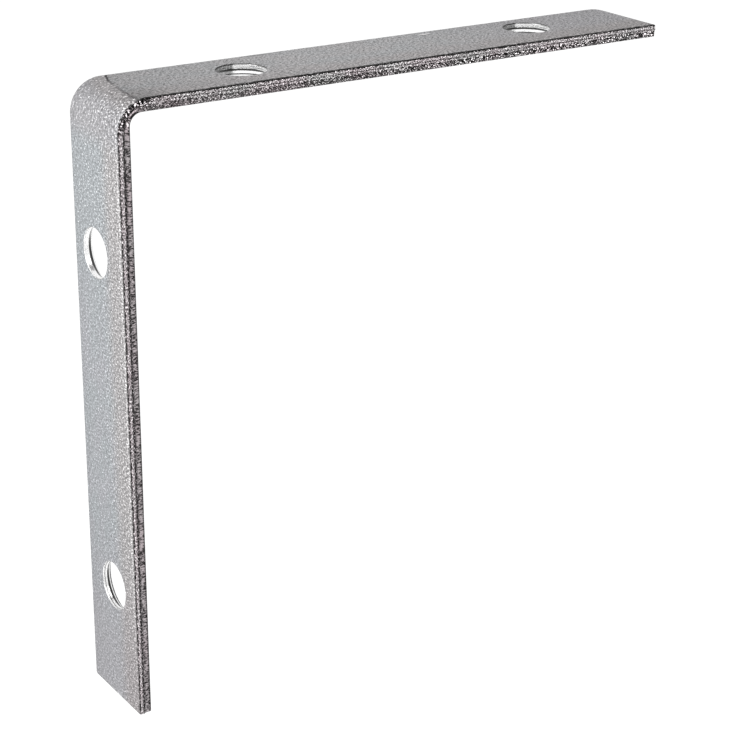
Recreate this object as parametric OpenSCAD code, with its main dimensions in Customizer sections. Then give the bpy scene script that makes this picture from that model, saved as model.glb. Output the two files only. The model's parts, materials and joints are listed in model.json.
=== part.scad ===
// Corner brace bracket: one flat steel strap, bent once to a right angle, with
// two countersunk screw holes in each leg.
//
// Frame: the wall face lies in x = 0 and faces -X, the shelf face lies in z = 0
// and faces +Z, and the strap's width runs along Y with its middle at y = 0.
// The origin is the outer corner, where those two planes meet. The wall leg
// hangs down along -Z and the shelf leg reaches out along +X.

/* [Strap] */
// Width of the strap
strap_w = 16; // [13.5:0.5:30]
// Thickness of the strap
strap_t = 2; // [1.5:0.1:4]
// Radius of the long edges on the outer side, rolled over by the shear
edge_r = 0.3; // [0.1:0.05:0.6]
// Depth of the smooth sheared land, from the outer face
shear_land = 0.9; // [0.7:0.1:1.3]
// How far the torn lower part of each edge leans in, at the inner face
shear_lean = 0.1; // [0.02:0.02:0.2]

/* [Legs] */
// Length of the wall leg, from the shelf plane to its end
wall_leg = 100; // [75:1:200]
// Length of the shelf leg, from the wall plane to its end
shelf_leg = 100; // [75:1:200]
// Inside radius of the bend
bend_inner_r = 2; // [1:0.1:6]
// How much the outside radius exceeds the inside radius and the thickness, as
// the strap thins where it's stretched round the bend
bend_spread = 1.2; // [0.2:0.1:1.5]
// Radius of the end corners, seen square to the leg
end_corner_r = 0.5; // [0.2:0.1:2]
// Radius of the shelf leg's back corner, which is cut away more
cut_corner_r = 2; // [0.5:0.1:3]

/* [Screw holes] */
// Diameter of the screw holes
hole_d = 7.8; // [4:0.1:9.4]
// Depth of the countersinks, which open at the inner faces
csk_depth = 1.1; // [0.4:0.1:1.4]
// Angle of the countersinks, across the cone
csk_angle = 90; // [60:1:110]
// From the corner to the middle of each leg's inner hole
inner_hole = 25; // [16:1:36]
// From each leg's end to the middle of its outer hole
outer_hole_margin = 20; // [10:1:26]
// Offset of the wall leg's inner hole from the strap's middle
wall_inner_offset = 1.2; // [-1.5:0.1:1.5]
// Offset of the wall leg's outer hole from the strap's middle
wall_outer_offset = -0.3; // [-1.5:0.1:1.5]
// Offset of the shelf leg's inner hole from the strap's middle
shelf_inner_offset = 0.2; // [-1.5:0.1:1.5]
// Offset of the shelf leg's outer hole from the strap's middle
shelf_outer_offset = 1.5; // [-1.5:0.1:1.5]

/* [Hidden] */
$fn = 96;

// Zinc plate
zinc = [0.66, 0.67, 0.68];
// Cutters reach this far past the faces they cut
overcut = 1;

half_w = strap_w / 2;
bend_outer_r = bend_inner_r + strap_t + bend_spread;

// The strap's section: x is the depth from the outer face, y runs across the
// strap. The outer edges are rolled over, then comes the smooth sheared land,
// and then the torn part, which leans in to the inner face. A depth over
// strap_t carries the lean on past that face.
module strap_section(depth = strap_t) {
    inner_half_w = half_w - shear_lean * (depth - shear_land) / (strap_t - shear_land);
    translate([0, edge_r - half_w])
        square([edge_r, strap_w - 2 * edge_r]);
    for (side = [-1, 1])
        translate([edge_r, side * (half_w - edge_r)])
            circle(r = edge_r);
    polygon([
        [edge_r, -half_w], [shear_land, -half_w], [depth, -inner_half_w],
        [depth, inner_half_w], [shear_land, half_w], [edge_r, half_w]
    ]);
}

// Takes off a leg's end corner on one side (-1 or 1) to a radius, in the wall
// leg's place.
module end_corner_cut(leg, side, r) {
    translate([-overcut, side * (half_w - r), r - leg])
        rotate([0, 90, 0])
            difference() {
                translate([0, side > 0 ? 0 : -r - overcut, 0])
                    cube([r + overcut, r + overcut, strap_t + 2 * overcut]);
                cylinder(r = r, h = strap_t + 2 * overcut);
            }
}

// A screw hole at a distance down the wall leg: a straight bore from the outer
// face, then a countersink that opens at the inner face.
module screw_hole(along, across) {
    hole_r = hole_d / 2;
    csk_slope = tan(csk_angle / 2);
    translate([0, across, -along])
        rotate([0, 90, 0]) {
            translate([0, 0, -overcut])
                cylinder(r = hole_r, h = strap_t + 2 * overcut);
            translate([0, 0, strap_t - csk_depth])
                cylinder(
                    r1 = hole_r,
                    r2 = hole_r + (csk_depth + overcut) * csk_slope,
                    h = csk_depth + overcut
                );
        }
}

// One leg in the wall leg's place. The offsets are those of its inner and outer
// holes, and back_r is the radius of its end corner on the +Y side.
module leg(length, inner_offset, outer_offset, back_r) {
    difference() {
        translate([0, 0, -length])
            linear_extrude(height = length - bend_outer_r)
                strap_section();
        end_corner_cut(length, -1, end_corner_r);
        end_corner_cut(length, 1, back_r);
        screw_hole(inner_hole, inner_offset);
        screw_hole(length - outer_hole_margin, outer_offset);
    }
}

// The space inside the bend, seen along Y: inwards of both legs' inner faces,
// with its corner rounded to the inside radius
module inner_corner_outline() {
    centre = strap_t + bend_inner_r;
    reach = bend_outer_r + overcut;
    translate([centre, -centre])
        circle(r = bend_inner_r);
    translate([centre, -reach])
        square([reach - centre, reach - strap_t]);
    translate([strap_t, -reach])
        square([reach - strap_t, reach - centre]);
}

// The quarter turn between the legs: the strap's section is turned about the
// outside radius, deeper than the strap, and the space inside is cut out of it.
module bend() {
    difference() {
        translate([bend_outer_r, 0, -bend_outer_r])
            rotate([90, 0, 0])
                rotate([0, 0, 90])
                    rotate_extrude(angle = 90)
                        translate([bend_outer_r, 0])
                            mirror([1, 0])
                                strap_section(strap_t + overcut);
        translate([0, half_w + overcut, 0])
            rotate([90, 0, 0])
                linear_extrude(height = strap_w + 2 * overcut)
                    inner_corner_outline();
    }
}

module bracket() {
    color(zinc)
        union() {
            leg(wall_leg, wall_inner_offset, wall_outer_offset, end_corner_r);
            bend();
            // The shelf leg is the wall leg's form with X and -Z changed over
            mirror([1, 0, 1])
                leg(shelf_leg, shelf_inner_offset, shelf_outer_offset, cut_corner_r);
        }
}

bracket();
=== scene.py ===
"""Looks of the corner brace bracket: a sheared, punched and bent zinc-plated strap.

The strap is one mesh. Its points are laid out on the flat strap as
    s  distance along the strap, from the wall leg's end to the shelf leg's end
    y  distance across the strap, 0 in the middle
    n  depth below the outer face
in millimetres, and place() bends them into the row frame.
"""

import json
import math

import bpy
import numpy as np
from mathutils import Matrix, Vector


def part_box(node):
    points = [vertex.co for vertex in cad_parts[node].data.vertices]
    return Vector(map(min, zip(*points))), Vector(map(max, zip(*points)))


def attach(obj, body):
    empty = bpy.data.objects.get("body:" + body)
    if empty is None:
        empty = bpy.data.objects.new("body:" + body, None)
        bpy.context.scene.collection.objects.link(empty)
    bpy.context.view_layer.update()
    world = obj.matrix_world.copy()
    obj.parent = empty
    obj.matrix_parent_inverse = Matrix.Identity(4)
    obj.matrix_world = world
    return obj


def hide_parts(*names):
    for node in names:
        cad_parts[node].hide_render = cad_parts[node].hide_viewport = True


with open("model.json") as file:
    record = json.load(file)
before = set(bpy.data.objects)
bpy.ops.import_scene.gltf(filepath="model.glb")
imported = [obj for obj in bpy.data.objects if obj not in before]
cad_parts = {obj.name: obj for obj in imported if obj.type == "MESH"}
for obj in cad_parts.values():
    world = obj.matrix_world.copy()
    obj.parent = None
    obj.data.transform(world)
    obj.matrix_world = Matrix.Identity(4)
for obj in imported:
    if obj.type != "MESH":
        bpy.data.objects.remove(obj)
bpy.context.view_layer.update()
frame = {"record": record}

MM = 0.001
LOW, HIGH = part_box("bracket")
MOUNTS = {m["name"]: m for m in frame["record"]["mounts"]}

# ---------------------------------------------------------------- the strap
WALL_LEG = -LOW.z / MM
SHELF_LEG = HIGH.x / MM
HALF_WIDTH = HIGH.y / MM
THICKNESS = 2.0
BEND_RADIUS = 5.2
INNER_BEND_RADIUS = 2.0
# How far apart the centres of the two bend radii are, on each axis
BEND_SPREAD = BEND_RADIUS - THICKNESS - INNER_BEND_RADIUS
CORNER_RADIUS = 0.5
CUT_CORNER_RADIUS = 2.0

WALL_FLAT = WALL_LEG - BEND_RADIUS
SHELF_FLAT = SHELF_LEG - BEND_RADIUS
BEND_LENGTH = (BEND_RADIUS - THICKNESS / 2) * math.pi / 2
STRAP_LENGTH = WALL_FLAT + BEND_LENGTH + SHELF_FLAT

# The sheared edge from the outer face to the inner: (inset, depth) of each
# level. First the rolled-over lip, then the smooth land with its drag line,
# then the torn part, which leans in, and last the broken inner lip.
EDGE_LEVELS = (
    (0.30, 0.05), (0.19, 0.07), (0.10, 0.12), (0.04, 0.20), (0.01, 0.31),
    (0.00, 0.44), (0.00, 0.58), (0.03, 0.66), (0.03, 0.72), (0.00, 0.80),
    (0.00, 0.90), (0.05, 0.97), (0.06, 1.10), (0.07, 1.24), (0.08, 1.38),
    (0.09, 1.52), (0.09, 1.66), (0.10, 1.80), (0.11, 1.92), (0.16, 2.00),
)
LAND_END = 0.93
TORN_DEPTH = 0.05
LAND_DEPTH = 0.008

ROW_COUNT = 20
LINE_STEP = 0.25
ARC_LINES = 8
END_ZONE = 3.0
END_LINES = 8

# Depth and reach of the pulled-down skin beside the sheared edges and holes
LIP_SINK = 0.05
LIP_REACH = 1.0
RIM_SINK = 0.04
RIM_REACH = 0.7

# Screw holes: half the length of the patch around each, how far its rings go
# from the patch's border (0) to the rim (1), and the wall as (radius added to
# the bore's, depth)
PATCH_REACH = 6.5
PATCH_RINGS = (0.16, 0.32, 0.48, 0.62, 0.74, 0.84, 0.92, 0.97)
HOLE_WALL = (
    (0.14, 0.04), (0.08, 0.06), (0.03, 0.11), (0.00, 0.20), (0.00, 0.40),
    (0.02, 0.50), (0.00, 0.58), (0.00, 0.74), (0.00, 0.90), (0.09, 0.97),
    (0.36, 1.26), (0.64, 1.54), (0.92, 1.82), (1.05, 1.95), (1.10, 2.00),
)

# The crease pressed across the outside of the bend: (y, distance along the
# strap from the bend's start, how dark its painted shade is) of points along it
CREASE = (
    (-8.0, 5.05, 0.00), (-7.0, 5.12, 0.15), (-6.0, 5.20, 0.38), (-3.5, 5.40, 0.55),
    (-1.0, 5.70, 0.45), (1.0, 5.84, 0.30), (3.0, 6.05, 0.45), (4.5, 6.34, 0.80),
    (5.5, 6.60, 0.95), (8.0, 7.60, 0.95),
)
CREASE_SINK = 0.05
CREASE_REACH = 0.22


def noise(u, v, seed):
    """Smooth noise from -1 to 1 over the (u, v) plane, one cell to a unit."""
    table = np.random.default_rng(seed).uniform(-1, 1, (512, 512))
    iu, iv = np.floor(u).astype(int), np.floor(v).astype(int)
    fu, fv = u - iu, v - iv
    fu, fv = fu * fu * (3 - 2 * fu), fv * fv * (3 - 2 * fv)
    near = table[iu % 512, iv % 512] * (1 - fv) + table[iu % 512, (iv + 1) % 512] * fv
    iu = iu + 1
    far = table[iu % 512, iv % 512] * (1 - fv) + table[iu % 512, (iv + 1) % 512] * fv
    return near * (1 - fu) + far * fu


def inner_reach(turn):
    """How far the inner face is from the outer bend radius's centre."""
    across, up = np.cos(turn), np.sin(turn)
    long, short = np.maximum(across, up), np.minimum(across, up)
    on_leg = (BEND_RADIUS - THICKNESS) / long
    offset = BEND_SPREAD * (across + up)
    on_bend = offset + np.sqrt(offset**2 - 2 * BEND_SPREAD**2 + INNER_BEND_RADIUS**2)
    return np.where(short / long < BEND_SPREAD / (BEND_RADIUS - THICKNESS), on_leg, on_bend)


def place(s, y, n):
    """Points of the flat strap, bent into the row frame, in millimetres."""
    turn = np.clip((s - WALL_FLAT) / BEND_LENGTH, 0, 1) * math.pi / 2
    below = np.minimum(s - WALL_FLAT, 0)
    beyond = np.maximum(s - WALL_FLAT - BEND_LENGTH, 0)
    radius = BEND_RADIUS - n / THICKNESS * (BEND_RADIUS - inner_reach(turn))
    x = BEND_RADIUS - radius * np.cos(turn) + beyond
    z = -BEND_RADIUS + radius * np.sin(turn) + below
    return np.stack([x, y, z], axis=-1)


def end_outline(radius):
    """One corner of a strap end: distance from the end, distance in from the
    side, and the outward normal (towards the end, towards the side)."""
    turn = np.linspace(0, math.pi / 2, ARC_LINES + 1)
    run = np.linspace(radius, END_ZONE, END_LINES + 1)[1:]
    away = np.concatenate([radius * (1 - np.cos(turn)), run])
    inward = np.concatenate([radius * (1 - np.sin(turn)), 0 * run])
    to_end = np.concatenate([np.cos(turn), 0 * run])
    to_side = np.concatenate([np.sin(turn), 0 * run + 1])
    return away, inward, to_end, to_side


def side_outline(side, end_radii):
    """One long side of the flat strap as rows of (s, y, normal s, normal y)."""
    away, inward, to_end, to_side = end_outline(end_radii[0])
    start = np.stack([away, side * (HALF_WIDTH - inward), -to_end, side * to_side])
    away, inward, to_end, to_side = end_outline(end_radii[1])
    stop = np.stack(
        [STRAP_LENGTH - away, side * (HALF_WIDTH - inward), to_end, side * to_side]
    )[:, ::-1]
    count = round((STRAP_LENGTH - 2 * END_ZONE) / LINE_STEP)
    along = np.linspace(END_ZONE, STRAP_LENGTH - END_ZONE, count + 1)[1:-1]
    middle = np.stack([along, 0 * along + side * HALF_WIDTH, 0 * along, 0 * along + side])
    return np.concatenate([start, middle, stop], axis=1)


def crease_s(y):
    """Where the crease crosses the strap at y, as a distance along the strap."""
    ys, along, _ = zip(*CREASE)
    return WALL_FLAT + np.interp(y, ys, along)


def shelf_s(x):
    """A place on the shelf leg, x from the wall, as a distance along the strap."""
    return STRAP_LENGTH - SHELF_LEG + x


def hole_spots():
    """(s, y, bore radius) of each screw hole, from the record's mounts."""
    spots = []
    for name in sorted(MOUNTS):
        mount = MOUNTS[name]
        if mount["kind"] != "bore":
            continue
        x, y, z = (c / MM for c in mount["pos_m"])
        on_wall = abs(mount["axis"][0]) > 0.5
        s = WALL_LEG + z if on_wall else shelf_s(x)
        spots.append((s, y, mount["dims"]["r_mm"]))
    return spots


HOLES = hole_spots()


def outer_sink(s, y):
    """How far the outer face lies below its plane: it's pulled down beside the
    sheared edges and the holes, and pressed in along the crease."""
    from_side = HALF_WIDTH - EDGE_LEVELS[0][0] - np.abs(y)
    from_end = np.minimum(s, STRAP_LENGTH - s) - EDGE_LEVELS[0][0]
    from_edge = np.clip(np.minimum(from_side, from_end), 0, LIP_REACH)
    sink = LIP_SINK * (1 - from_edge / LIP_REACH) ** 2
    for hole_s, hole_y, radius in HOLES:
        away = np.hypot(s - hole_s, y - hole_y) - radius - HOLE_WALL[0][0]
        sink = sink + RIM_SINK * (1 - np.clip(away, 0, RIM_REACH) / RIM_REACH) ** 2
    off = (s - crease_s(y)) / CREASE_REACH
    return sink + CREASE_SINK * np.exp(-off * off)


def edge_tear(s, y, n):
    """How far the sheared edge is torn inwards of its clean form: fine drag
    marks on the land and coarse crumbs below it."""
    along = s + 0.7 * y
    drag = 0.5 + 0.5 * noise(along / 0.4, n * 0.3, 11)
    crumbs = 0.5 + 0.5 * noise(along / 0.45, n / 0.3, 12)
    torn = np.clip((n - LAND_END) / 0.1, 0, 1) * np.clip((THICKNESS - n) / 0.1, 0.3, 1)
    return LAND_DEPTH * drag * (1 - torn) + TORN_DEPTH * crumbs * torn


class StrapMesh:
    """Gathers points on the flat strap, with their zone, and the faces.

    A point's zone is (1 on a sheared edge, 1 on a hole's wall, and there how
    far it faces away from the bend, from -1 to 1).
    """

    def __init__(self):
        self.points, self.zones, self.faces, self.count = [], [], [], 0

    def add(self, s, y, n, zone):
        """Adds points, and returns their numbers."""
        s, y, n = np.broadcast_arrays(s, y, n)
        start, self.count = self.count, self.count + s.size
        self.points.append(np.stack([s.ravel(), y.ravel(), n.ravel()], axis=1))
        zone = np.broadcast_arrays(*zone, s)[:3]
        self.zones.append(np.stack([part.ravel() for part in zone], axis=1))
        return np.arange(start, self.count).reshape(s.shape)

    def skin(self, grid, keep=None):
        """Adds the quads between the rows of a grid of point numbers."""
        quads = np.stack([grid[:-1, :-1], grid[1:, :-1], grid[1:, 1:], grid[:-1, 1:]], -1)
        quads = quads[keep] if keep is not None else quads.reshape(-1, 4)
        self.faces.append(quads.reshape(-1, 4))

    def build(self, name):
        flat = np.concatenate(self.points)
        used, faces = np.unique(np.concatenate(self.faces), return_inverse=True)
        faces = faces.reshape(-1, 4)
        flat, zones = flat[used], np.concatenate(self.zones)[used]
        mesh = bpy.data.meshes.new(name)
        mesh.from_pydata((place(*flat.T) * MM).tolist(), [], faces.tolist())
        for label, values in (("strap", flat), ("zone", zones)):
            attribute = mesh.attributes.new(label, "FLOAT_VECTOR", "POINT")
            attribute.data.foreach_set("vector", values.astype(np.float32).ravel())
        past_crease = flat[:, 0] - crease_s(flat[:, 1])
        attribute = mesh.attributes.new("past_crease", "FLOAT", "POINT")
        attribute.data.foreach_set("value", past_crease.astype(np.float32))
        mesh.polygons.foreach_set("use_smooth", [True] * len(mesh.polygons))
        mesh.update()
        return mesh


def build_strap():
    near = side_outline(-1, (CORNER_RADIUS, CORNER_RADIUS))
    far = side_outline(1, (CORNER_RADIUS, CUT_CORNER_RADIUS))
    insets, depths = np.array(EDGE_LEVELS).T
    line_count, level_count = near.shape[1], len(insets)
    share = np.linspace(0, 1, ROW_COUNT + 1)
    mesh = StrapMesh()

    def surface(lines, rows, levels, zone):
        """Adds the crossings of those lines, rows and levels, and returns their
        numbers in a lines x rows x levels block."""
        i, k, j = np.meshgrid(lines, rows, levels, indexing="ij")
        s, y, s_out, y_out = near[:, i] * (1 - share[k]) + far[:, i] * share[k]
        n = depths[j]
        worked = (j > 0) & (j < level_count - 1)
        inset = insets[j] + np.where(worked, edge_tear(s, y, n), 0)
        s, y = s - inset * s_out, y - inset * y_out
        n = np.where(j == 0, outer_sink(s, y), n)
        return mesh.add(s, y, n, zone)

    lines, rows = np.arange(line_count), np.arange(ROW_COUNT + 1)
    inner_levels = np.arange(1, level_count - 1)
    number = np.full((line_count, ROW_COUNT + 1, level_count), -1)
    number[:, :, :1] = surface(lines, rows, [0], (0, 0, 0))
    number[:, :, -1:] = surface(lines, rows, [level_count - 1], (0, 0, 0))
    for k in (0, ROW_COUNT):
        number[:, [k], 1:-1] = surface(lines, [k], inner_levels, (1, 0, 0))
    for i in (0, line_count - 1):
        number[[i], 1:-1, 1:-1] = surface([i], rows[1:-1], inner_levels, (1, 0, 0))

    middle_s = (near[0] + far[0]) / 2
    keep = np.ones((line_count - 1, ROW_COUNT), bool)
    for s, y, radius in HOLES:
        first, last = np.searchsorted(middle_s, (s - PATCH_REACH, s + PATCH_REACH))
        keep[first:last] = False
        punch_hole(mesh, number, (first, last), (s, y, radius))

    mesh.skin(number[:, :, 0], keep)
    mesh.skin(number[:, ::-1, -1], keep[:, ::-1])
    mesh.skin(number[:, 0, ::-1])
    mesh.skin(number[:, -1, :])
    mesh.skin(number[0, :, :])
    mesh.skin(number[-1, ::-1, :])
    return mesh.build("bracket_strap")


def punch_hole(mesh, number, lines, spot):
    """Fills the patch between two lines on both faces around a hole, and gives
    the hole its wall."""
    first, last = lines
    hole_s, hole_y, radius = spot
    around = (
        [(i, 0) for i in range(first, last)]
        + [(last, k) for k in range(ROW_COUNT)]
        + [(i, ROW_COUNT) for i in range(last, first, -1)]
        + [(first, k) for k in range(ROW_COUNT, 0, -1)]
    )
    i, k = np.array(around).T
    points = np.concatenate(mesh.points)

    def patch(border, rim_radius, on_outer):
        """Rings from the patch's border towards a rim of that radius."""
        s, y, _ = points[border].T
        turn = np.arctan2(y - hole_y, s - hole_s)
        rim_s, rim_y = hole_s + rim_radius * np.cos(turn), hole_y + rim_radius * np.sin(turn)
        made = []
        for part in PATCH_RINGS:
            ring_s, ring_y = s + (rim_s - s) * part, y + (rim_y - y) * part
            n = outer_sink(ring_s, ring_y) if on_outer else THICKNESS
            made.append(mesh.add(ring_s, ring_y, n, (0, 0, 0)))
        return turn, made

    outer_border, inner_border = number[i, k, 0], number[i, k, -1]
    turn, outer = patch(outer_border, radius + HOLE_WALL[0][0], True)
    _, inner = patch(inner_border, radius + HOLE_WALL[-1][0], False)
    rings = [outer_border, *outer]
    outwards = np.cos(turn) * (1 if hole_s > WALL_FLAT else -1)
    for grown, depth in HOLE_WALL:
        r = radius + grown
        on_wall = float(HOLE_WALL[0][1] < depth < THICKNESS)
        zone = (0, on_wall, outwards)
        rings.append(mesh.add(hole_s + r * np.cos(turn), hole_y + r * np.sin(turn), depth, zone))
    rings += [*inner[::-1], inner_border]
    grid = np.array(rings)
    mesh.skin(np.concatenate([grid, grid[:, :1]], axis=1).T)


strap = bpy.data.objects.new("bracket_strap", build_strap())
bpy.context.scene.collection.objects.link(strap)
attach(strap, "root")
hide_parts("bracket")

# ---------------------------------------------------------------- material
# How much a noise field's middle moves for each unit of a sparkle's strength
SPARKLE_SHIFT = 0.0015


class Nodes:
    """Short ways to add shader nodes to one tree."""

    def __init__(self, tree):
        self.tree = tree
        tree.nodes.clear()

    def add(self, kind, **settings):
        node = self.tree.nodes.new(kind)
        for key, value in settings.items():
            if key[0].isupper():
                node.inputs[key.replace("_", " ")].default_value = value
            else:
                setattr(node, key, value)
        return node

    def link(self, out, into):
        self.tree.links.new(out, into)
        return into.node

    def math(self, operation, a, b=None, c=None, clamp=False):
        node = self.add("ShaderNodeMath", operation=operation, use_clamp=clamp)
        for socket, value in zip(node.inputs, (a, b, c)):
            if value is None:
                continue
            if isinstance(value, (int, float)):
                socket.default_value = value
            else:
                self.link(value, socket)
        return node.outputs[0]

    def mix(self, share, a, b):
        """Colours a and b mixed by share. Each may be a socket or a value."""
        node = self.add("ShaderNodeMix", data_type="RGBA")
        self.link(share, node.inputs[0])
        for socket, value in ((node.inputs[6], a), (node.inputs[7], b)):
            if hasattr(value, "is_linked"):
                self.link(value, socket)
            elif isinstance(value, (int, float)):
                socket.default_value = (value, value, value, 1)
            else:
                socket.default_value = (*value, 1)
        return node.outputs[2]

    def ramp(self, value, low, high):
        """0 below low, 1 above high, smooth between."""
        node = self.add("ShaderNodeMapRange", interpolation_type="SMOOTHSTEP")
        self.link(value, node.inputs["Value"])
        node.inputs["From Min"].default_value = low
        node.inputs["From Max"].default_value = high
        return node.outputs[0]

    def curve(self, value, stops):
        """A value read off a line through (position from 0 to 1, grey) stops."""
        node = self.add("ShaderNodeValToRGB")
        self.link(value, node.inputs[0])
        elements = node.color_ramp.elements
        while len(elements) < len(stops):
            elements.new(0.5)
        for element, (position, grey) in zip(elements, stops):
            element.position = position
            element.color = (grey, grey, grey, 1)
        return node.outputs[0]

    def attribute(self, name, output):
        return self.add("ShaderNodeAttribute", attribute_name=name).outputs[output]

    def split(self, vector):
        return self.link(vector, self.add("ShaderNodeSeparateXYZ").inputs[0]).outputs

    def tint(self, colour, light):
        """A colour, made lighter or darker by a factor."""
        node = self.add("ShaderNodeMix", data_type="RGBA", blend_type="MULTIPLY")
        node.inputs[0].default_value = 1
        if hasattr(colour, "is_linked"):
            self.link(colour, node.inputs[6])
        else:
            node.inputs[6].default_value = (*colour, 1)
        self.link(light, node.inputs[7])
        return node.outputs[2]

    def sparkle(self, field, strength):
        """A factor that follows a noise field, as a power of 2, and is 1 on average."""
        middle = self.math("MULTIPLY_ADD", strength, SPARKLE_SHIFT, 0.5)
        return self.math(
            "POWER", 2, self.math("MULTIPLY", self.math("SUBTRACT", field, middle), strength)
        )

    def spot(self, u, v, mark):
        """1 inside a mark with a centre (u, v) and two half sizes, and 0 outside it."""
        at_u, at_v, half_u, half_v = mark
        off_u = self.math("DIVIDE", self.math("SUBTRACT", u, at_u), half_u)
        off_v = self.math("DIVIDE", self.math("SUBTRACT", v, at_v), half_v)
        away = self.math("ADD", self.math("POWER", off_u, 2), self.math("POWER", off_v, 2))
        return self.ramp(away, 1.2, 0.6)

    def noise(self, vector, scale, detail=2.0, roughness=0.5, stretch=(1, 1, 1)):
        mapping = self.add("ShaderNodeMapping", Scale=stretch)
        self.link(vector, mapping.inputs["Vector"])
        node = self.add("ShaderNodeTexNoise", Scale=scale, Detail=detail, Roughness=roughness)
        self.link(mapping.outputs[0], node.inputs["Vector"])
        return node.outputs[0]


METALLIC = 0.85
SPECULAR = 0.04

# Linear colours: the plate's casts, and its marks, some of them painted light and shade
NEAR_CAST = (1.030, 1.000, 1.006)
FAR_CAST = (0.950, 1.000, 1.040)
FAR_LILAC_CAST = (0.985, 1.000, 1.055)
END_NEAR_CAST = (1.062, 1.000, 1.016)
END_FAR_CAST = (1.005, 1.000, 1.050)
BEND_CAST = (1.010, 1.000, 1.035)
CREASE_CAST = (1.040, 1.000, 1.010)
SHELF_NEAR_CAST = (1.058, 1.000, 1.006)
SHELF_FAR_CAST = (0.990, 1.000, 1.025)
SHELF_END_CAST = (1.020, 1.000, 1.040)
EDGE_PINK_CAST = (1.120, 0.985, 1.030)
EDGE_GREY_CAST = (1.060, 0.992, 1.015)
EDGE_GREEN_CAST = (1.020, 1.000, 1.000)
NICK_PALE = (0.80, 0.78, 0.78)
# Black of the painted shade in the crease and below the nick, and of the smear
SHADE_AND_SMEAR_BLACK = (0.018, 0.014, 0.016)
# Painted glare for the walls of the holes
BORE_PAINTED_GLARE = (1.0, 1.0, 1.0)

# Greys along the strap, as (s, grey): of the faces before and past the crease. They hold
# painted shade: the shelf leg's face is darker than the wall leg's, and the greys dip where
# the wall leg turns into the bend and just past the crease
WALL_GREY_AND_SHADE = (
    (0.0, 0.345), (10.0, 0.358), (38.0, 0.400), (55.0, 0.415), (70.0, 0.430), (85.0, 0.448),
    (96.5, 0.432), (98.0, 0.385), (99.0, 0.330), (100.0, 0.297), (101.5, 0.280),
)
SHELF_GREY_AND_SHADE = (
    (98.5, 0.265), (101.0, 0.275), (105.0, 0.290), (130.0, 0.330), (155.0, 0.315),
    (175.0, 0.282), (193.0, 0.262),
)
# Across the strap, as (y, strength): the grain of the wall leg, and its bright
# flecks, which crowd on its burnished near side
WALL_GRAIN = ((-8.0, 8.5), (-7.0, 7.0), (-5.0, 5.8), (-1.0, 4.7), (2.0, 3.8), (8.0, 3.6))
WALL_FLECKS = (
    (-8.0, 2.4), (-7.0, 2.3), (-5.0, 1.9), (-3.5, 1.3), (-1.0, 1.1), (2.0, 0.9), (8.0, 0.6),
)
SHELF_GRAIN = 7.0
SHELF_STREAKS = 0.9
SHELF_FLECKS = 0.9
INNER_GRAIN = 3.0
# What the cracks over the bend add to the flecks, and the crushed near edge of
# the bend to the grain of the face and, as a factor, of the edge
BEND_FLECKS = 0.5
CRUSHED_GRAIN = 14.0
CRUSHED_EDGE = 2.2
# Strength of the sheared edges' grain, on the smooth land and on the torn part,
# which is coarser towards the shelf leg's end, and what a dark band adds to it
WALL_LAND_GRAIN, WALL_TORN_GRAIN = 13.0, 19.0
SHELF_LAND_GRAIN, SHELF_TORN_GRAIN, SHELF_END_GRAIN = 19.0, 16.0, 36.0
DARK_BAND_GRAIN = 12.0
# Beside the near edge: the wall leg's painted highlight along its rolled-over lip and the
# painted shade on the lip, and the shelf leg's dark line, as factors
NEAR_HIGHLIGHT = 1.34
NEAR_LIP_SHADE = 0.60
NEAR_SHADOW = 0.035

# Bands by depth, as (share of the thickness, grey): of the sheared edges of the
# wall leg and the shelf leg, whose dark first bands, on the rolled-over lip, are painted
# shade, and of the walls of the wall leg's and the shelf leg's holes, which are painted
# light and shade: a bright painted reflection with dark rings of painted shade
WALL_EDGE_BANDS = (
    (0.00, 0.150), (0.02, 0.040), (0.06, 0.040), (0.09, 0.230), (0.15, 0.410), (0.23, 0.470),
    (0.32, 0.320), (0.37, 0.120), (0.41, 0.045), (0.48, 0.045), (0.53, 0.130), (0.60, 0.280),
    (0.75, 0.330), (0.90, 0.270), (0.94, 0.120), (1.00, 0.120),
)
SHELF_EDGE_BANDS = (
    (0.00, 0.012), (0.08, 0.010), (0.12, 0.280), (0.18, 0.500), (0.25, 0.280), (0.30, 0.100),
    (0.34, 0.100), (0.38, 0.460), (0.45, 0.400), (0.50, 0.130), (0.60, 0.120), (0.75, 0.155),
    (0.90, 0.125), (1.00, 0.100),
)
# How far the bands of the edges drift over the strap's length
BAND_DRIFT = 0.15
WALL_HOLE_PAINTED_LIGHT = (
    (0.03, 0.35), (0.06, 1.00), (0.40, 1.00), (0.44, 0.005), (0.76, 0.005), (0.80, 0.95),
    (1.00, 0.98),
)
WALL_END_HOLE_PAINTED_LIGHT = (
    (0.03, 0.35), (0.06, 1.00), (0.14, 1.00), (0.17, 0.10), (0.21, 0.10), (0.24, 1.00),
    (0.36, 1.00), (0.39, 0.02), (0.64, 0.01), (0.68, 0.95), (0.75, 0.95), (0.79, 0.02),
    (0.91, 0.02), (0.95, 0.90), (1.00, 0.95),
)
SHELF_HOLE_PAINTED_LIGHT = (
    (0.03, 0.08), (0.08, 0.15), (0.12, 1.00), (0.36, 1.00), (0.42, 0.05), (0.58, 0.03),
    (0.63, 1.00), (0.84, 1.00), (0.88, 0.05), (1.00, 0.05),
)
# The dark rings of painted shade are only this grey on the near side of a hole and towards the bend
PLAIN_RING_SHADE = 0.14
# Marks on the outer face of the shelf leg: a nick, pale above and with painted shade
# below, and a smear. Each is (s, y, half length, half width), share shown and colour.
MARKS = (
    ((shelf_s(62.3), 5.40, 1.3, 0.25), 0.6, SHADE_AND_SMEAR_BLACK),
    ((shelf_s(62.5), 5.90, 1.2, 0.25), 1.0, NICK_PALE),
    ((shelf_s(32.1), 7.10, 2.6, 0.30), 0.4, SHADE_AND_SMEAR_BLACK),
)
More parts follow.
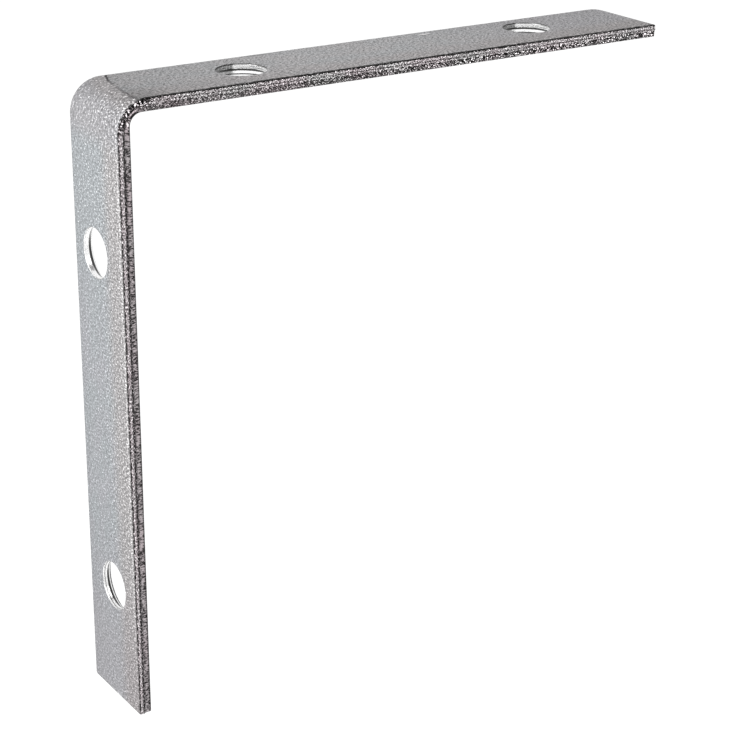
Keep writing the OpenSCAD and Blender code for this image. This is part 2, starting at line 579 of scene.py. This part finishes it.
# Painted highlights and a dark mark on the sheared edges, in the inner corner of the bend:
# (s, depth, half length, half depth), and a factor
CORNER_HIGHLIGHTS_AND_DARK_MARK = (
    ((WALL_FLAT + 2.0, 1.50, 0.5, 0.28), 2.4),
    ((WALL_FLAT + 3.5, 1.68, 0.8, 0.32), 0.10),
    ((WALL_FLAT + 4.0, 1.22, 1.0, 0.16), 2.0),
)


class Surface:
    """What the plate's nodes know of the place they colour: its place on the flat
    strap, and how much it belongs to each part, from 0 to 1."""

    def __init__(self, n):
        self.at = n.attribute("strap", "Vector")
        self.s, self.y, self.depth = n.split(self.at)
        self.sheared, self.hole_wall, self.outwards = n.split(n.attribute("zone", "Vector"))
        self.wobble = n.math("SUBTRACT", n.noise(self.at, 1.1, 3.0), 0.5)
        crease_off = n.attribute("past_crease", "Fac")
        self.past = n.math("ADD", crease_off, n.math("MULTIPLY", self.wobble, 0.5))
        self.on_shelf = n.ramp(self.past, -0.05, 0.10)
        self.on_outer = n.ramp(self.depth, 0.11, 0.09)
        self.inside = n.math("GREATER_THAN", self.depth, THICKNESS / 2)
        self.along = n.math("DIVIDE", self.s, STRAP_LENGTH)
        share = n.math("DIVIDE", self.depth, THICKNESS)
        self.level = n.math("MULTIPLY_ADD", self.wobble, 0.02, share)
        self.across = n.math("MULTIPLY_ADD", self.y, 0.5 / HALF_WIDTH, 0.5)
        self.far = n.ramp(self.y, -5.0, -1.0)
        self.at_end = n.ramp(self.s, 30, 5)
        self.shelf_line = n.math("MULTIPLY", n.ramp(self.y, -7.25, -7.5), n.ramp(self.depth, 1, 0.9))
        self.blotches = n.ramp(n.noise(self.at, 0.25, 1.0, 0.5, (0.6, 1, 1)), 0.3, 0.7)
        self.into_bend = n.ramp(self.s, WALL_FLAT - 1, WALL_FLAT + 2)
        self.in_bend = n.math("MULTIPLY", self.into_bend, n.ramp(self.past, 3, 0))


def across_curve(n, at, stops):
    """A value read off a line through (y, value) stops."""
    return n.curve(at.across, [(0.5 + 0.5 * y / HALF_WIDTH, value) for y, value in stops])


def face_speckle(n, at):
    """The grain of the rolled faces, as a factor and as a height: it grows to a
    sparkle of bright flecks on the wall leg, and runs in streaks on the shelf leg."""
    near_bend = n.ramp(at.s, 65, 88)
    grain = n.mix(
        at.on_shelf,
        n.noise(at.at, 3.2, 2.0, 0.7, (1, 0.65, 1)),
        n.noise(at.at, 3.6, 3.0, 0.8, (0.6, 1, 1)),
    )
    strength = across_curve(n, at, WALL_GRAIN)
    crushed = n.math("MULTIPLY", at.in_bend, n.ramp(at.y, -7.25, -7.45))
    strength = n.math("MULTIPLY_ADD", crushed, CRUSHED_GRAIN, strength)
    strength = n.mix(at.inside, strength, INNER_GRAIN)
    flecks = across_curve(n, at, WALL_FLECKS)
    flecks = n.math("MULTIPLY", flecks, n.mix(at.at_end, n.mix(near_bend, 1, 1.3), 0.6))
    flecks = n.math("MULTIPLY_ADD", at.in_bend, BEND_FLECKS, flecks)
    flecks = n.mix(at.inside, flecks, 0)
    bright = n.ramp(n.noise(at.at, 3.8, 0.0, 0.5, (1, 0.7, 1)), 0.65, 0.75)
    wall = n.math("MULTIPLY", n.sparkle(grain, strength), n.math("MULTIPLY_ADD", flecks, bright, 1))

    streaks = n.noise(at.at, 1.9, 3.0, 0.7, (0.25, 1, 1))
    streaks = n.math("MULTIPLY_ADD", streaks, SHELF_STREAKS, 1 - SHELF_STREAKS / 2)
    strength = n.mix(at.inside, SHELF_GRAIN, SHELF_GRAIN / 2)
    dots = n.math("MULTIPLY_ADD", n.math("SUBTRACT", grain, 0.5), strength, 1)
    dashes = n.sparkle(n.noise(at.at, 1.6, 2.0, 0.7, (0.6, 1, 1)), 20)
    beside = n.math("MULTIPLY", bright, n.ramp(at.y, -6.5, -7.1))
    dots = n.math("MULTIPLY", dots, n.math("MULTIPLY_ADD", beside, SHELF_FLECKS, 1))
    shelf = n.mix(at.shelf_line, n.math("MULTIPLY", streaks, dots), dashes)
    return n.mix(at.on_shelf, wall, shelf), grain


def face_cast(n, at):
    """The hue of the rolled faces: cool, and warmer near the bend and the edge."""
    lilac = n.math("MULTIPLY", at.blotches, n.ramp(at.s, 78, 60))
    wall = n.mix(at.far, NEAR_CAST, n.mix(lilac, FAR_CAST, FAR_LILAC_CAST))
    wall = n.mix(n.ramp(at.s, WALL_FLAT - 4, WALL_FLAT), wall, BEND_CAST)
    wall = n.mix(n.ramp(at.past, -3, -1), wall, CREASE_CAST)
    wall = n.mix(at.at_end, wall, n.mix(at.far, END_NEAR_CAST, END_FAR_CAST))
    cool = n.math("MULTIPLY", n.math("ADD", at.far, at.blotches), 0.5)
    shelf = n.mix(cool, SHELF_NEAR_CAST, SHELF_FAR_CAST)
    shelf_end = n.mix(at.far, SHELF_NEAR_CAST, SHELF_END_CAST)
    shelf = n.mix(n.ramp(at.s, 155, 185), shelf, shelf_end)
    return n.mix(at.on_shelf, wall, shelf)


def face_colour(n, at):
    """The rolled faces: cool grey, with a painted highlight and painted shade along the near edge,
    and painted shade into the bend and past the crease.
    """
    # Painted shade in the greys: the shelf leg's face darker than the wall leg's, and dips into the
    # bend and past the crease
    wall = n.curve(at.along, [(s / STRAP_LENGTH, grey) for s, grey in WALL_GREY_AND_SHADE])
    shelf = n.curve(at.along, [(s / STRAP_LENGTH, grey) for s, grey in SHELF_GREY_AND_SHADE])
    # The near half is darker, most of all by the wall leg's end, and past the crease, where it is
    # painted shade
    wall_nearer = n.mix(at.at_end, 0.97, 0.90)
    nearer = n.mix(at.on_shelf, wall_nearer, n.mix(n.ramp(at.past, 8, 0), 0.92, 0.76))
    # The wall leg's rolled-over lip: a painted highlight along it and painted shade at its edge
    light = n.math("MULTIPLY", n.ramp(at.y, -6.95, -7.15), n.ramp(at.s, -5, 25))
    wall_lip_light_and_shade = n.mix(n.ramp(at.y, -7.45, -7.65), n.mix(light, 1, NEAR_HIGHLIGHT), NEAR_LIP_SHADE)
    faint = n.math("MAXIMUM", n.ramp(at.past, 25, 5), n.ramp(at.past, 74, 84))
    shadow = n.mix(faint, NEAR_SHADOW, 4 * NEAR_SHADOW)
    line = n.mix(at.on_shelf, wall_lip_light_and_shade, n.mix(at.shelf_line, 1, shadow))
    line = n.mix(at.inside, line, 1)
    speckle, grain = face_speckle(n, at)
    tone = n.math("MULTIPLY", n.mix(at.on_shelf, wall, shelf), speckle)
    tone = n.math("MULTIPLY", tone, n.mix(at.far, nearer, n.mix(n.ramp(at.y, 4, 8), 1, 0.95)))
    return n.tint(face_cast(n, at), n.math("MULTIPLY", tone, line)), grain


def edge_colour(n, at):
    """The sheared edges: banded by depth, with painted shade on the rolled-over lip, smooth above
    and crumbled below.
    """
    drift = n.math("MULTIPLY_ADD", at.along, -BAND_DRIFT, BAND_DRIFT / 2)
    level = n.math("MULTIPLY_ADD", drift, n.ramp(at.level, 0.10, 0.30), at.level)
    bands = n.mix(at.on_shelf, n.curve(level, WALL_EDGE_BANDS), n.curve(level, SHELF_EDGE_BANDS))
    torn = n.ramp(at.level, 0.45, 0.6)
    crushed = n.math("MULTIPLY", at.into_bend, n.ramp(at.past, 2.5, 0.5))
    crushed = n.math("MULTIPLY", crushed, n.ramp(at.level, 0.45, 0.30))
    bands = n.mix(crushed, bands, n.math("MAXIMUM", bands, 0.14))
    pits = n.math("MINIMUM", n.noise(at.at, 5.5, 1.0, 0.6, (1.0, 1, 0.4)), 0.56)
    wall = n.mix(torn, n.noise(at.at, 5.0, 1.0, 0.6, (0.6, 1, 1.6)), pits)
    crumbs = n.mix(at.on_shelf, wall, n.noise(at.at, 6.5, 1.0, 0.6, (0.75, 1, 1)))
    crumbs = n.mix(crushed, crumbs, n.noise(at.at, 3.0, 2.0, 0.6, (1.2, 1, 0.7)))
    wall_grain = n.mix(torn, WALL_LAND_GRAIN, WALL_TORN_GRAIN)
    shelf_torn = n.mix(n.ramp(at.past, 5, 70), SHELF_TORN_GRAIN, SHELF_END_GRAIN)
    shelf_grain = n.mix(torn, SHELF_LAND_GRAIN, shelf_torn)
    strength = n.mix(at.on_shelf, wall_grain, shelf_grain)
    strength = n.math("MULTIPLY_ADD", n.ramp(bands, 0.14, 0.05), DARK_BAND_GRAIN, strength)
    strength = n.math("MULTIPLY", strength, n.math("MULTIPLY_ADD", crushed, CRUSHED_EDGE, 1))
    tone = n.math("MULTIPLY", bands, n.sparkle(crumbs, strength))
    # Painted highlights and a dark mark in the bend's inner corner
    for mark, factor in CORNER_HIGHLIGHTS_AND_DARK_MARK:
        tone = n.math("MULTIPLY", tone, n.mix(n.spot(at.s, at.depth, mark), 1, factor))
    cast = n.mix(at.on_shelf, EDGE_GREY_CAST, EDGE_GREEN_CAST)
    return n.tint(n.mix(at.blotches, EDGE_PINK_CAST, cast), tone), crumbs


def hole_painted_light(n, at):
    """The walls of the holes, painted with light and shade: a bright painted reflection,
    with dark rings of painted shade, and painted shade towards the side nearest the bend."""
    wall = n.mix(
        n.ramp(at.s, WALL_LEG / 2 - 1, WALL_LEG / 2 + 1),
        n.curve(at.level, WALL_END_HOLE_PAINTED_LIGHT),
        n.curve(at.level, WALL_HOLE_PAINTED_LIGHT),
    )
    rings = n.mix(at.on_shelf, wall, n.curve(at.level, SHELF_HOLE_PAINTED_LIGHT))
    side = n.math("MULTIPLY_ADD", at.wobble, 0.5, at.outwards)
    shade = n.mix(
        at.on_shelf,
        n.mix(n.ramp(side, -0.90, -0.30), 0.72, 1),
        n.mix(n.ramp(side, 0.05, 0.35), 0.20, 1),
    )
    plain = n.math("MAXIMUM", n.ramp(side, 0.1, -0.7), n.ramp(at.y, 1, -2))
    faded = n.mix(plain, rings, n.math("MAXIMUM", rings, PLAIN_RING_SHADE))
    flecks = n.sparkle(n.noise(at.at, 5.0, 1.0, 0.6), 5)
    # The painted light of the holes is scaled up
    tone = n.math("MULTIPLY", n.math("MULTIPLY", faded, shade), 1.3)
    tone = n.math("MULTIPLY", tone, flecks, clamp=True)
    return n.tint(BORE_PAINTED_GLARE, tone)


def zinc_plate():
    material = bpy.data.materials.new("zinc_plate")
    material.use_nodes = True
    n = Nodes(material.node_tree)
    out = n.add("ShaderNodeOutputMaterial")
    plate = n.add("ShaderNodeBsdfPrincipled", Specular_IOR_Level=SPECULAR)
    n.link(plate.outputs[0], out.inputs["Surface"])

    at = Surface(n)
    face, grain = face_colour(n, at)
    edge, crumbs = edge_colour(n, at)
    colour = n.mix(at.sheared, face, edge)
    # The holes' walls take painted light and shade
    colour = n.mix(at.hole_wall, colour, hole_painted_light(n, at))
    # Painted shade along the pressed crease, as dark as the crease table gives
    crease = n.math("MULTIPLY", n.ramp(n.math("ABSOLUTE", at.past), 0.28, 0.10), at.on_outer)
    crease_shade = across_curve(n, at, [(y, dark) for y, _, dark in CREASE])
    ragged = n.math("MULTIPLY_ADD", at.wobble, 0.8, 1)
    crease = n.math("MULTIPLY", crease, n.math("MULTIPLY", crease_shade, ragged), clamp=True)
    colour = n.mix(crease, colour, SHADE_AND_SMEAR_BLACK)
    # Marks: painted shade below the nick, the nick's pale part, and the smear
    for mark, shown, mark_colour in MARKS:
        share = n.math("MULTIPLY", n.spot(at.s, at.y, mark), at.on_outer)
        colour = n.mix(n.math("MULTIPLY", share, shown), colour, mark_colour)
    n.link(colour, plate.inputs["Base Color"])

    # Where the colour is nearly black, in the painted shade and the smear, it doesn't shine
    brightness = n.link(colour, n.add("ShaderNodeRGBToBW").inputs[0]).outputs[0]
    shine = n.ramp(brightness, 0.02, 0.12)
    n.link(n.math("MULTIPLY", shine, METALLIC), plate.inputs["Metallic"])
    rough = n.math("MULTIPLY_ADD", at.sheared, 0.15, 0.48)
    n.link(n.math("MULTIPLY_ADD", at.hole_wall, -0.30, rough), plate.inputs["Roughness"])
    bump = n.add("ShaderNodeBump", Strength=0.5, Distance=0.00005)
    n.link(n.mix(at.sheared, grain, crumbs), bump.inputs["Height"])
    n.link(bump.outputs[0], plate.inputs["Normal"])
    return material


strap.data.materials.append(zinc_plate())

# ---------------------------------------------------------------- stage
def backdrop(n, lit, seen):
    """A grey that is seen by the camera and in reflections, and another that
    lights the bracket."""
    path = n.add("ShaderNodeLightPath")
    direct = n.math("MAXIMUM", path.outputs["Is Camera Ray"], path.outputs["Is Glossy Ray"])
    direct = n.math("MAXIMUM", direct, path.outputs["Is Transmission Ray"])
    return n.mix(direct, lit, seen)


ROOM_LIGHT = 0.75


def build_world():
    world = bpy.data.worlds.new("studio")
    bpy.context.scene.world = world
    world.use_nodes = True
    n = Nodes(world.node_tree)
    out = n.add("ShaderNodeOutputWorld")
    light = n.add("ShaderNodeBackground", Strength=1.0)
    n.link(backdrop(n, ROOM_LIGHT, 1), light.inputs["Color"])
    n.link(light.outputs[0], out.inputs["Surface"])


FLOOR_DROP = 0.5
FLOOR_HALF = 3.0
FLOOR_GREY = (0.8, 0.8, 0.8, 1)
# What the floor glows with, where it's seen, to come out white
FLOOR_GLOW = 0.45


def build_floor():
    z = LOW.z - FLOOR_DROP
    mesh = bpy.data.meshes.new("floor")
    corners = [(x * FLOOR_HALF, y * FLOOR_HALF, z) for x, y in ((-1, -1), (1, -1), (1, 1), (-1, 1))]
    mesh.from_pydata(corners, [], [(0, 1, 2, 3)])
    floor = bpy.data.objects.new("floor", mesh)
    bpy.context.scene.collection.objects.link(floor)
    material = bpy.data.materials.new("floor")
    material.use_nodes = True
    n = Nodes(material.node_tree)
    out = n.add("ShaderNodeOutputMaterial")
    skin = n.add(
        "ShaderNodeBsdfPrincipled",
        Base_Color=FLOOR_GREY,
        Roughness=0.9,
        Specular_IOR_Level=0.0,
        Emission_Strength=1.0,
    )
    n.link(backdrop(n, 0, FLOOR_GLOW), skin.inputs["Emission Color"])
    n.link(skin.outputs[0], out.inputs["Surface"])
    mesh.materials.append(material)


# (name, towards the lamp from the bracket, size in metres, distance, watts)
LAMPS = (
    ("key", (-0.9, -0.1, 0.35), 0.9, 1.0, 4.0),
    ("fill", (0.2, -0.6, 0.8), 1.0, 1.2, 3.0),
)


def build_lamps():
    middle = (LOW + HIGH) / 2
    for name, towards, size, distance, watts in LAMPS:
        data = bpy.data.lights.new(name, "AREA")
        data.shape, data.size, data.energy = "DISK", size, watts
        lamp = bpy.data.objects.new(name, data)
        lamp.location = middle + Vector(towards).normalized() * distance
        lamp.rotation_euler = Vector(towards).to_track_quat("Z", "Y").to_euler()
        bpy.context.scene.collection.objects.link(lamp)


# The camera looks at a point inside the bracket's angle, from the wall leg's
# outer side and a little above the shelf leg.
AZIMUTH = math.radians(-33.48)
ELEVATION = math.radians(21.62)
ROLL = math.radians(0.467)
DISTANCE = 0.28773
AIM_RIGHT = 0.039296
AIM_DOWN = 0.039448
LENS = 98.735
SENSOR = 36.0


def build_camera():
    data = bpy.data.cameras.new("camera")
    data.sensor_width, data.lens = SENSOR, LENS
    data.clip_start, data.clip_end = 0.01, 50
    camera = bpy.data.objects.new("camera", data)
    back = Vector((
        math.sin(AZIMUTH) * math.cos(ELEVATION),
        -math.cos(AZIMUTH) * math.cos(ELEVATION),
        math.sin(ELEVATION),
    ))
    right = Vector((0, 0, 1)).cross(back).normalized()
    up = back.cross(right)
    right, up = (
        right * math.cos(ROLL) + up * math.sin(ROLL),
        up * math.cos(ROLL) - right * math.sin(ROLL),
    )
    where = right * AIM_RIGHT - up * AIM_DOWN + back * DISTANCE
    turn = Matrix((right, up, back)).transposed().to_4x4()
    camera.matrix_world = Matrix.Translation(where) @ turn
    bpy.context.scene.collection.objects.link(camera)
    bpy.context.scene.camera = camera


build_world()
build_floor()
build_lamps()
build_camera()
bpy.context.scene.view_settings.view_transform = "Standard"
